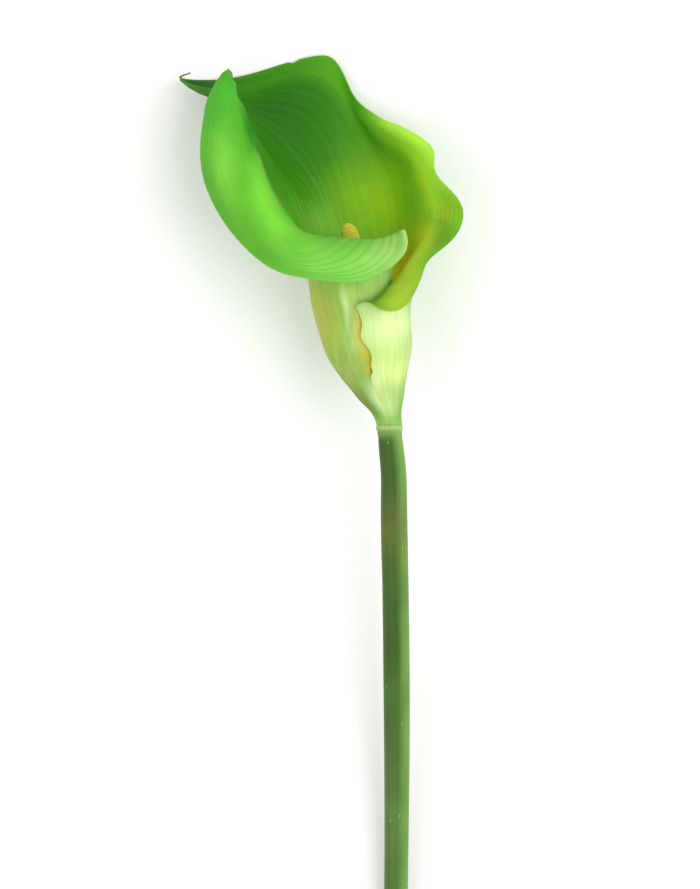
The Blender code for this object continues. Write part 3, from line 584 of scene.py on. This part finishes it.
def stem_skin():
    """A calla's scape: smooth watery skin with a satin gloss, fine pale lines, and cloudy darker patches."""
    material, tree, shader = new_material("green_stem_skin")
    tint = add_node(tree, "VertexColor", layer_name="tint")
    sheet = add_node(tree, "UVMap", uv_map="sheet")
    place = add_node(tree, "TexCoord")
    # Lines 0.7 mm apart round the stem, some 40 mm long.
    along = add_node(tree, "Mapping", [(0, sheet.outputs[0]), ("Scale", (45, 8, 1))])
    line = add_node(tree, "TexNoise", [("Vector", along.outputs[0]), ("Scale", 1), ("Detail", 3)])
    cloud = add_node(tree, "TexNoise", [("Vector", place.outputs["Object"]), ("Scale", 45), ("Detail", 4)])
    grain = add_node(tree, "TexNoise", [("Vector", place.outputs["Object"]), ("Scale", 2200), ("Detail", 1)])
    # Short pale scratches, 0.2 mm wide and 5 mm long.
    scratch_along = add_node(tree, "Mapping", [(0, sheet.outputs[0]), ("Scale", (60, 50, 1))])
    scratch = add_node(tree, "TexVoronoi", [("Vector", scratch_along.outputs[0]), ("Scale", 1)])
    mark = add_node(tree, "MapRange", [(0, scratch.outputs["Distance"]), (1, 0.08), (2, 0.16), (3, 1.0),
                                       (4, 0.0)])
    lot = add_node(tree, "SeparateColor", [(0, scratch.outputs["Color"])])
    chosen = add_node(tree, "Math", [(0, lot.outputs[0]), (1, 0.9)], operation="GREATER_THAN")
    marks = add_node(tree, "Math", [(0, mark.outputs[0]), (1, chosen.outputs[0])], operation="MULTIPLY")
    lines = add_node(tree, "MapRange", [(0, line.outputs[0]), (1, 0.3), (2, 0.7), (3, 0.88), (4, 1.12)])
    clouds = add_node(tree, "MapRange", [(0, cloud.outputs[0]), (1, 0.3), (2, 0.7), (3, 0.85), (4, 1.12)])
    light = add_node(tree, "Math", [(0, lines.outputs[0]), (1, clouds.outputs[0])], operation="MULTIPLY")
    shaded = add_node(tree, "VectorMath", [(0, tint.outputs[0]), ("Scale", light.outputs[0])],
                      operation="SCALE")
    worn = add_node(tree, "Mix", [("Factor", marks.outputs[0]), (6, shaded.outputs[0]),
                                  (7, (*hex_to_linear("B8D898"), 1))], data_type="RGBA")
    tree.links.new(worn.outputs[2], shader.inputs["Base Color"])
    gloss = add_node(tree, "MapRange", [(0, cloud.outputs[0]), (1, 0.3), (2, 0.7), (3, 0.36), (4, 0.52)])
    tree.links.new(gloss.outputs[0], shader.inputs["Roughness"])
    ribs = add_node(tree, "Bump", [("Height", line.outputs[0]), ("Strength", 0.3), ("Distance", 0.1 * MM)])
    skin = add_node(tree, "Bump", [("Height", grain.outputs[0]), ("Strength", 0.2), ("Distance", 0.03 * MM),
                                   ("Normal", ribs.outputs[0])])
    tree.links.new(skin.outputs[0], shader.inputs["Normal"])
    shader.inputs["IOR"].default_value = 1.4
    shader.inputs["Specular IOR Level"].default_value = 0.25
    shader.inputs["Subsurface Weight"].default_value = 0.15
    shader.inputs["Subsurface Radius"].default_value = (0.6, 1.0, 0.25)
    shader.inputs["Subsurface Scale"].default_value = 2 * MM
    return material


def cut_flesh(settings):
    """The wet cut across the stem: pale spongy flesh with air channels 0.5 mm wide."""
    material, tree, shader = new_material("cut_stem_flesh")
    place = add_node(tree, "TexCoord")
    pores = add_node(tree, "TexVoronoi", [("Vector", place.outputs["Object"]), ("Scale", 1300)])
    wall = add_node(tree, "MapRange", [(0, pores.outputs["Distance"]), (1, 0.15), (2, 0.45), (3, 0.6),
                                       (4, 1.0)])
    colour = add_node(tree, "VectorMath", [(0, settings.flesh), ("Scale", wall.outputs[0])],
                      operation="SCALE")
    tree.links.new(colour.outputs[0], shader.inputs["Base Color"])
    bump = add_node(tree, "Bump", [("Height", pores.outputs["Distance"]), ("Strength", 0.6),
                                   ("Distance", 0.2 * MM)])
    tree.links.new(bump.outputs[0], shader.inputs["Normal"])
    shader.inputs["Roughness"].default_value = 0.3
    return material


def studio_paper(settings):
    """Seamless studio paper: matt, nearly white, with a faint fibre mottle 3 mm wide."""
    material, tree, shader = new_material("studio_paper")
    place = add_node(tree, "TexCoord")
    fibre = add_node(tree, "TexNoise", [("Vector", place.outputs["Object"]), ("Scale", 330), ("Detail", 3)])
    mottle = add_node(tree, "MapRange", [(0, fibre.outputs[0]), (1, 0.3), (2, 0.7), (3, 0.985), (4, 1.0)])
    colour = add_node(tree, "VectorMath", [(0, settings.floor), ("Scale", mottle.outputs[0])],
                      operation="SCALE")
    tree.links.new(colour.outputs[0], shader.inputs["Base Color"])
    shader.inputs["Roughness"].default_value = 0.9
    return material


def finish_piece(name, shape, materials):
    """Turn a bmesh in the bloom's frame into a smooth shaded object at its place in the whole flower."""
    bmesh.ops.translate(shape, verts=shape.verts, vec=Vector(RING_CENTRE) * MM)
    mesh = bpy.data.meshes.new(name)
    shape.to_mesh(mesh)
    shape.free()
    mesh.shade_smooth()
    for material in materials:
        mesh.materials.append(material)
    piece = bpy.data.objects.new(name, mesh)
    bpy.context.scene.collection.objects.link(piece)
    return piece


def lay_stains_and_shade(ground, stains_and_shade, across, station):
    """The colour at each place of the spathe: the ground with each soft stain or patch of painted light or
    shade laid over it.
    """
    colour = np.ones((*across.shape, 3)) * np.array(ground)
    for code, centre, reach, row, length, strength in stains_and_shade:
        share = strength * spread(across, centre, reach) * spread(station, row, length)
        colour += share[..., None] * (np.array(hex_to_linear(code)) - colour)
    return colour


def trimmed(across, stations):
    """The place across the whole sheet of each point of the trimmed one, with bites in its right margin."""
    depth = sum(share * spread(stations, place, length) for place, length, share in BITES)
    return across - depth[:, None] * ease((across - BITE_FROM) / (1 - BITE_FROM))


def fibre_places(kept, stations):
    """Where each point lies among the fibres: on the foot they run straight down, whatever its margins do."""
    rows = [row[0] for row in FUNNEL]
    left = np.interp(stations, rows, [row[4] for row in FUNNEL])[:, None]
    right = np.interp(stations, rows, [row[5] for row in FUNNEL])[:, None]
    return (left + (right - left) * kept - left[-1]) / (right[-1] - left[-1])


def creases(across, girth, stations):
    """Height of the folds between creases, and how near each place is to a crease's bottom."""
    places = np.array([place for place, _ in CREASES])
    depths = np.array([depth for _, depth in CREASES])
    left = np.clip(np.searchsorted(places, across, side="right") - 1, 0, len(places) - 2)
    shows = np.interp(stations, *zip(*CREASE_SHOWS))
    bulge = np.zeros(girth.shape)
    valley = np.zeros(girth.shape)
    for row, share in enumerate(shows):
        marks = np.interp(places, across, girth[row])
        gap = np.maximum(marks[left + 1] - marks[left], 0.001)
        into = np.clip((girth[row] - marks[left]) / gap, 0, 1)
        depth = depths[left] * (1 - into) + depths[left + 1] * into
        bulge[row] = share * depth * CREASE_DEPTH * np.minimum(gap, WIDEST_BULGE) * 4 * into * (1 - into)
        nearest = np.abs(girth[row][:, None] - marks[None, :])
        valley[row] = share * (depths * spread(nearest, 0.0, CREASE_WIDTH)).max(axis=1)
    return bulge, valley


def sheet_thickness(settings, girth, stations, x):
    """Thickness over the sheet: full on the throat, thin and rounded at the free margins and at the tip."""
    edge = np.minimum(girth, girth[:, -1:] - girth)
    full = settings.thickness / MM
    free = ease((stations - SEAM_END) / OPENING)[:, None]
    thin = free * (1 - ease(edge / MARGIN_REACH))
    rounded = 1 - ROUND_SHARE * free * (1 - ease(edge / ROUND_REACH))
    taper = TIP_SHARE + (1 - TIP_SHARE) * ease((x - APEX[1]) / TIP_TAPER)
    return (full + (settings.margin / MM - full) * thin) * rounded * taper


def fine_ribs(across, count, seed):
    """Random heights from 0 to 1 for ribs that run along the sheet."""
    draw = random.Random(seed)
    return np.interp(across * count, range(count + 1), [draw.random() for _ in range(count + 1)])


def seamed_grid(points, fibres, stations):
    """The middle surface as a mesh, its foot joined along the seam; each of its points keeps its number."""
    shape = bmesh.new()
    bmesh.ops.create_grid(shape, x_segments=COLUMNS, y_segments=len(stations) - 1, size=0.5)
    place = shape.verts.layers.int.new("place")
    shape.verts.layers.float_color.new("tint")
    shape.verts.layers.float.new("vein")
    sheet = shape.loops.layers.uv.new("sheet")
    width = COLUMNS + 1
    shape.verts.ensure_lookup_table()
    for index, vertex in enumerate(shape.verts):
        vertex.co = points[index]
        vertex[place] = index
    for face in shape.faces:
        for loop in face.loops:
            row, column = divmod(loop.vert[place], width)
            loop[sheet].uv = (fibres[row, column], stations[row] / TAIL[0])
    seam = {}
    for row in np.flatnonzero(stations <= SEAM_END):
        left = shape.verts[row * width]
        seam[shape.verts[row * width + COLUMNS]] = left
        left.co = (points[row * width] + points[row * width + COLUMNS]) / 2
    bmesh.ops.weld_verts(shape, targetmap=seam)
    tip = [vertex for vertex in shape.verts if vertex.co.x < TIP_FROM * MM]
    bmesh.ops.remove_doubles(shape, verts=tip, dist=TIP_MERGE * MM)
    bmesh.ops.reverse_faces(shape, faces=shape.faces[:])
    shape.normal_update()
    return shape


def make_spathe(settings):
    """The rolled sheet: a fine grid on the CAD sheet's middle surface, creased, ribbed, given two faces."""
    stations = row_stations(ROWS)
    across = np.linspace(0, 1, COLUMNS + 1)
    whole = spathe_surface(across, stations)
    kept = trimmed(across, stations)
    middle = np.stack([[np.interp(places, across, line[:, axis]) for places, line in zip(kept, whole)]
                       for axis in range(3)], axis=-1)
    steps = np.linalg.norm(np.diff(middle, axis=1), axis=2)
    girth = np.concatenate([np.zeros((len(stations), 1)), steps.cumsum(axis=1)], axis=1)
    bulge, valley = creases(across, girth, stations)
    half = sheet_thickness(settings, girth, stations, middle[..., 0]) / 2
    fibres = fibre_places(kept, stations)
    ribs = sum(share * fine_ribs(fibres, count, seed) for count, seed, share in RIBS) * settings.rib / MM
    ribs = ribs * ease(stations / RIBS_RISE)[:, None] * ease((RIBS_END - stations) / RIBS_FADE)[:, None]
    raised = (half + bulge).ravel()
    sunk = (half - bulge + ribs).ravel()

    station = np.repeat(stations[:, None], COLUMNS + 1, axis=1)
    # Painted shade: past the fold line the inner green is darkened, where the sheet turns away from the
    # light.
    beyond = kept - np.interp(stations, *zip(*PAINTED_SHADE_LINE))[:, None]
    shade = PAINTED_SHADE_SHARE * ease(beyond / FOLD_EDGE) * np.exp(-np.maximum(beyond, 0) / FOLD_REACH)
    lit = 1 - shade * spread(station, FOLD_MIDDLE, FOLD_LENGTH)
    inside = (lay_stains_and_shade(settings.inside, INSIDE_STAINS_LIGHT_AND_SHADE, kept, station) * lit[..., None]).reshape(-1, 3)
    outside = lay_stains_and_shade(settings.outside, OUTSIDE_STAINS_AND_SHADE, kept, station).reshape(-1, 3)
    place_across, reach, place_along, length = FLAP
    flap = (spread(kept, place_across, reach) * spread(station, place_along, length)).ravel()
    # Negative on the turned-down left side, where the crease bottoms get painted shade; positive elsewhere,
    # for pale veins.
    veins = valley.ravel() * (1 - 2 * ease(flap * FLAP_SHARPNESS))

    shape = seamed_grid(middle.reshape(-1, 3) * MM, fibres, stations)
    place = shape.verts.layers.int["place"]
    tint = shape.verts.layers.float_color["tint"]
    vein = shape.verts.layers.float["vein"]
    inner = list(shape.verts)
    grown = bmesh.ops.extrude_face_region(shape, geom=shape.faces[:], use_keep_orig=True)["geom"]
    outer = [item for item in grown if isinstance(item, bmesh.types.BMVert)]
    backs = [item for item in grown if isinstance(item, bmesh.types.BMFace)]
    normals = {vertex[place]: vertex.normal.copy() for vertex in inner}
    for face in shape.faces:
        face.material_index = 0
    for face in backs:
        face.material_index = 1
    for vertex in inner:
        index = vertex[place]
        vertex.co += normals[index] * raised[index] * MM
        vertex[tint] = (*inside[index], 1.0)
        vertex[vein] = veins[index]
    for vertex in outer:
        index = vertex[place]
        vertex.co -= normals[index] * sunk[index] * MM
        vertex[tint] = (*outside[index], 1.0)
    bmesh.ops.recalc_face_normals(shape, faces=shape.faces[:])
    piece = finish_piece("calla_spathe", shape, [
        spathe_skin("spathe_inner_skin", settings, 0.52, 0.04),
        spathe_skin("spathe_outer_skin", settings, 0.52, 0.07),
    ])
    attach(piece, "root")
    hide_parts("spathe")


FEWEST_ROWS = 6  # from one stop to the next, so that the rings of the collar show


def sweep(stops, sides, spacing, relief):
    """A round body along a smooth line through stops of x, y, z and radius; relief gives extra radius."""
    stops = np.array(stops)
    knots = np.append(0.0, np.cumsum(np.linalg.norm(np.diff(stops[:, :3], axis=0), axis=1)))
    runs = [(a, b, max(FEWEST_ROWS, math.ceil((b - a) / spacing))) for a, b in zip(knots, knots[1:])]
    places = row_stations(runs)
    line = spline_weights(knots, places) @ stops
    heading = np.gradient(line[:, :3], places, axis=0)
    shape = bmesh.new()
    bmesh.ops.create_grid(shape, x_segments=sides, y_segments=len(places) - 1, size=0.5)
    shape.verts.ensure_lookup_table()
    sheet = shape.loops.layers.uv.new("sheet")
    width = sides + 1
    seam = {}
    for row, (stop, forward) in enumerate(zip(line, heading)):
        turn = Vector(forward).to_track_quat("Z", "X")
        for column in range(width):
            angle = math.tau * column / sides
            radius = stop[3] + relief(places[row], column % sides)
            spoke = Vector((math.cos(angle), math.sin(angle), 0.0)) * radius
            shape.verts[row * width + column].co = (Vector(stop[:3]) + turn @ spoke) * MM
        seam[shape.verts[row * width + sides]] = shape.verts[row * width]
    for face in shape.faces:
        for loop in face.loops:
            row, column = divmod(loop.vert.index, width)
            loop[sheet].uv = (column / sides, places[row] / places[-1])
    bmesh.ops.weld_verts(shape, targetmap=seam)
    ends = bmesh.ops.edgeloop_fill(shape, edges=[edge for edge in shape.edges if edge.is_boundary])["faces"]
    bmesh.ops.recalc_face_normals(shape, faces=shape.faces[:])
    return shape, sorted(ends, key=lambda face: face.calc_center_median().y)


# Patches of colour along the stem: colour, distance from the ring and reach in mm, and strength.
STEM_STAINS = [
    ("AACB7C", 1.4, 1.6, 0.85),
    ("7A9C50", 3.6, 2.0, 0.6),
    ("7C7A3C", 42.0, 12.0, 0.35),
    ("3F7428", 66.0, 6.0, 0.3),
    ("3C6E26", 108.0, 7.0, 0.4),
    ("6E9048", 160.0, 40.0, 0.35),
    ("4C8434", 235.0, 35.0, 0.3),
]


STEM_SHADED_SIDE = "425A26"  # painted shade on the left and painted light on the right of the skin, and the share of each
STEM_SHADED_SHARE = 0.6
STEM_LIT_SIDE = "7CAA50"
STEM_LIT_SHARE = 0.7
SIDE_REACH = 0.8  # both blend in over this share of the radius
LEFT_FROM = 0.1
# The cut end's rim, shallow groove and flesh: the width and depth of each inset.
CUT_RINGS = [(0.25, 0.0), (0.35, -0.12), (1.4, -0.08)]
CUT_LEAN = 1.6  # no point of the cut lies further than this from its middle, along the stem
# Rings and grooves of the collar under the spathe: height, distance from the ring, reach.
COLLAR_RINGS = [(0.28, 1.5, 0.8), (-0.2, 2.7, 0.3), (0.15, 3.5, 0.5), (-0.15, 4.4, 0.3)]


def make_stem(settings):
    """The fleshy stem with its collar, fine lines and fresh cut, and the boss that holds the spadix."""
    draw = random.Random(11)
    lines = [draw.random() for _ in range(settings.sides)]
    line = settings.line / MM

    def relief(distance, column):
        rings = sum(height * spread(distance, place, reach) for height, place, reach in COLLAR_RINGS)
        return rings + line * lines[column]

    shape, (cut, top) = sweep(STEM, settings.sides, 1.6, relief)
    middle = cut.calc_center_median()
    for vertex in cut.verts:
        vertex.co.y += CUT_SLANT * (vertex.co.z - middle.z)
    for thickness, depth in CUT_RINGS:
        bmesh.ops.inset_region(shape, faces=[cut], thickness=thickness * MM, depth=depth * MM)
    bmesh.ops.poke(shape, faces=[cut])
    for face in shape.faces:
        if all(vertex.co.y < middle.y + CUT_LEAN * MM for vertex in face.verts) and abs(face.normal.y) > 0.7:
            face.material_index = 1
    bmesh.ops.inset_region(shape, faces=[top], thickness=(STEM[0][3] - BOSS_RADIUS) * MM)
    raised = bmesh.ops.extrude_discrete_faces(shape, faces=[top])["faces"]
    bmesh.ops.translate(shape, verts=raised[0].verts, vec=(0.0, BOSS_HEIGHT * MM, 0.0))
    rim = list(raised[0].edges)
    bmesh.ops.bevel(shape, geom=rim, offset=BOSS_ROUND * MM, segments=3, affect="EDGES", profile=0.5,
                    material=-1)

    tint = shape.verts.layers.float_color.new("tint")
    # Painted shade on the stem's left side and painted light on its right.
    left, right = np.array(hex_to_linear(STEM_SHADED_SIDE)), np.array(hex_to_linear(STEM_LIT_SIDE))
    skin = np.array(settings.skin)
    places = np.array([vertex.co for vertex in shape.verts]) / MM
    stops = np.array(STEM)
    side = (places[:, 0] - np.interp(-places[:, 1], -stops[:, 1], stops[:, 0])) / stops[0, 3]
    colour = skin + STEM_SHADED_SHARE * ease((-side - LEFT_FROM) / SIDE_REACH)[:, None] * (left - skin)
    colour += STEM_LIT_SHARE * ease(side / SIDE_REACH)[:, None] * (right - skin)
    for code, distance, reach, strength in STEM_STAINS:
        colour += strength * spread(-places[:, 1], distance, reach)[:, None] * (hex_to_linear(code) - colour)
    for vertex, (red, green, blue) in zip(shape.verts, colour):
        vertex[tint] = (red, green, blue, 1.0)
    piece = finish_piece("calla_stem", shape, [stem_skin(), cut_flesh(settings)])
    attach(piece, "root")
    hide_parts("stem")


FLOWER_SUNK = 0.45  # how deep each tiny flower sits in the core, as a share of its width
FLOWER_AREA = 0.72  # the room that each one takes, as a share of its width squared
FLOWER_SIZES = (0.52, 0.56)  # half its width, as a share of the nominal width
FLOWER_TINTS = (0.92, 1.08)
FLOWER_HEIGHT = 0.9  # its height over its width
CORE_SUNK = 0.35
CORE_COLOUR = "D2C834"


def spadix_seats(flower):
    """Where the tiny flowers sit, in a golden spiral: the seat and the way that each faces."""
    stops = np.array(SPADIX)
    golden = math.pi * (3 - math.sqrt(5))
    height = stops[0, 1] + flower / 2
    seats = []
    while height < stops[-1, 1]:
        x, z, radius = (float(np.interp(height, stops[:, 1], stops[:, k])) for k in (0, 2, 3))
        turn = golden * len(seats)
        out = Vector((math.cos(turn), 0.0, math.sin(turn)))
        tip_lean = 0.25 + 3 * max(0.0, 1 - radius / 3.5)
        seat = Vector((x, height, z)) + out * max(radius - FLOWER_SUNK * flower, 0.0)
        seats.append((seat, out + Vector((0, tip_lean, 0))))
        height += FLOWER_AREA * flower * flower / (math.tau * max(radius, 0.8))
    return seats


def make_spadix(settings):
    """The finger of tiny flowers: a core closely set with little domes."""
    flower = settings.flower / MM
    seats = spadix_seats(flower)
    shape = bmesh.new()
    tint = shape.verts.layers.float_color.new("tint")
    bmesh.ops.create_uvsphere(shape, u_segments=7, v_segments=5, radius=1.0)
    domes = [shape.verts[:]]
    while len(domes) < len(seats):
        twins = bmesh.ops.duplicate(shape, geom=[*shape.verts, *shape.edges, *shape.faces])["vert_map"]
        domes += [[twins[vertex] for vertex in dome] for dome in domes]
    spare = [vertex for dome in domes[len(seats) :] for vertex in dome]
    draw = random.Random(7)
    pollen = np.array(settings.pollen)
    for (seat, out), dome in zip(seats, domes):
        size = flower * draw.uniform(*FLOWER_SIZES)
        scale = Vector((size, size, FLOWER_HEIGHT * size)) * MM
        place = Matrix.LocRotScale(seat * MM, out.to_track_quat("Z", "Y"), scale)
        colour = (*(pollen * draw.uniform(*FLOWER_TINTS)), 1.0)
        for vertex in dome:
            vertex.co = place @ vertex.co
            vertex[tint] = colour
    bmesh.ops.delete(shape, geom=spare, context="VERTS")
    core, _ = sweep(SPADIX, 40, 1.0, lambda distance, column: -CORE_SUNK * flower)
    tint = core.verts.layers.float_color.new("tint")
    for vertex in core.verts:
        vertex[tint] = (*hex_to_linear(CORE_COLOUR), 1.0)
    mesh = bpy.data.meshes.new("spadix_core")
    core.to_mesh(mesh)
    core.free()
    shape.from_mesh(mesh)
    bpy.data.meshes.remove(mesh)
    piece = finish_piece("calla_spadix", shape, [pollen_flesh()])
    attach(piece, "root")
    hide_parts("spadix")


def add_lamp(name, place, size, power):
    """A square soft box that faces the flower."""
    data = bpy.data.lights.new(name, "AREA")
    data.size = size
    data.energy = power
    lamp = bpy.data.objects.new(name, data)
    bpy.context.scene.collection.objects.link(lamp)
    lamp.location = place
    lamp.rotation_euler = (Vector(LIT_PLACE) - Vector(place)).to_track_quat("-Z", "Y").to_euler()


FRAME_HEIGHT = 0.3556  # what the camera takes in, top to bottom, at the ring's height, in metres
FRAME_CENTRE = (0.0106, 0.0673)
SENSOR = 24.0  # height of the camera's sensor in millimetres
LIT_PLACE = (0.0, 0.1, 0.04)  # where both lamps point, in metres
KEY_PLACE = (0.8, 0.15, 1.5)
KEY_SIZE = 1.2
FILL_PLACE = (-0.9, -0.4, 1.4)
FILL_SIZE = 1.2
FILL_SHARE = 0.6  # of the key light's power
ROOM_LIGHT = 0.75
FLOOR_SIZE = 6.0


def make_studio(settings):
    """A pale paper floor, a soft box on the right, a weaker one on the left, and the camera looking down."""
    shape = bmesh.new()
    bmesh.ops.create_grid(shape, x_segments=8, y_segments=8, size=FLOOR_SIZE)
    mesh = bpy.data.meshes.new("paper_floor")
    shape.to_mesh(mesh)
    shape.free()
    mesh.materials.append(studio_paper(settings))
    floor = bpy.data.objects.new("paper_floor", mesh)
    bpy.context.scene.collection.objects.link(floor)
    add_lamp("key_light", KEY_PLACE, KEY_SIZE, settings.key)
    add_lamp("fill_light", FILL_PLACE, FILL_SIZE, settings.key * FILL_SHARE)
    world = bpy.data.worlds.new("studio_room")
    world.use_nodes = True
    background = world.node_tree.nodes["Background"]
    background.inputs["Color"].default_value = (1.0, 1.0, 1.0, 1.0)
    background.inputs["Strength"].default_value = ROOM_LIGHT
    bpy.context.scene.world = world
    bpy.context.scene.view_settings.view_transform = "Standard"

    data = bpy.data.cameras.new("camera")
    data.sensor_fit = "VERTICAL"
    data.sensor_height = SENSOR
    data.lens = SENSOR * settings.distance / FRAME_HEIGHT
    camera = bpy.data.objects.new("camera", data)
    bpy.context.scene.collection.objects.link(camera)
    camera.location = (*FRAME_CENTRE, RING_CENTRE[2] * MM + settings.distance)
    bpy.context.scene.camera = camera


class CALLA_OT_spathe(bpy.types.Operator):
    """Build the rolled spathe"""

    bl_idname = "calla.spathe"
    bl_label = "Spathe"

    def execute(self, context):
        make_spathe(context.scene.calla_spathe)
        return {"FINISHED"}


class CALLA_OT_spadix(bpy.types.Operator):
    """Build the spadix and its tiny flowers"""

    bl_idname = "calla.spadix"
    bl_label = "Spadix"

    def execute(self, context):
        make_spadix(context.scene.calla_spadix)
        return {"FINISHED"}


class CALLA_OT_stem(bpy.types.Operator):
    """Build the stem with its collar and its cut end"""

    bl_idname = "calla.stem"
    bl_label = "Stem"

    def execute(self, context):
        make_stem(context.scene.calla_stem)
        return {"FINISHED"}


class CALLA_OT_studio(bpy.types.Operator):
    """Set up the floor, the lights and the camera"""

    bl_idname = "calla.studio"
    bl_label = "Studio"

    def execute(self, context):
        make_studio(context.scene.calla_studio)
        return {"FINISHED"}


class CALLA_PT_panel(bpy.types.Panel):
    """Lists the operators with the values that they use"""

    bl_label = "Calla Lily"
    bl_space_type = "VIEW_3D"
    bl_region_type = "UI"
    bl_category = "Calla Lily"

    def draw(self, context):
        for part, settings_type in SETTINGS.items():
            column = self.layout.column(align=True)
            column.operator("calla." + part)
            settings = getattr(context.scene, "calla_" + part)
            for name in settings_type.__annotations__:
                column.prop(settings, name)


SETTINGS = {"spathe": SheetSettings, "spadix": SpadixSettings, "stem": StemSettings, "studio": StudioSettings}
CLASSES = [
    *SETTINGS.values(), CALLA_OT_spathe, CALLA_OT_spadix, CALLA_OT_stem, CALLA_OT_studio, CALLA_PT_panel,
]


def register():
    """Make the settings, the operators and the panel known"""
    for kind in CLASSES:
        bpy.utils.register_class(kind)
    for part, settings_type in SETTINGS.items():
        setattr(bpy.types.Scene, "calla_" + part, PointerProperty(type=settings_type))


def unregister():
    """Take them away again"""
    for part in SETTINGS:
        delattr(bpy.types.Scene, "calla_" + part)
    for kind in reversed(CLASSES):
        bpy.utils.unregister_class(kind)


def main():
    """Build the flower and its studio"""
    register()
    bpy.ops.calla.studio()
    bpy.ops.calla.stem()
    bpy.ops.calla.spadix()
    bpy.ops.calla.spathe()


if __name__ == "__main__":
    main()
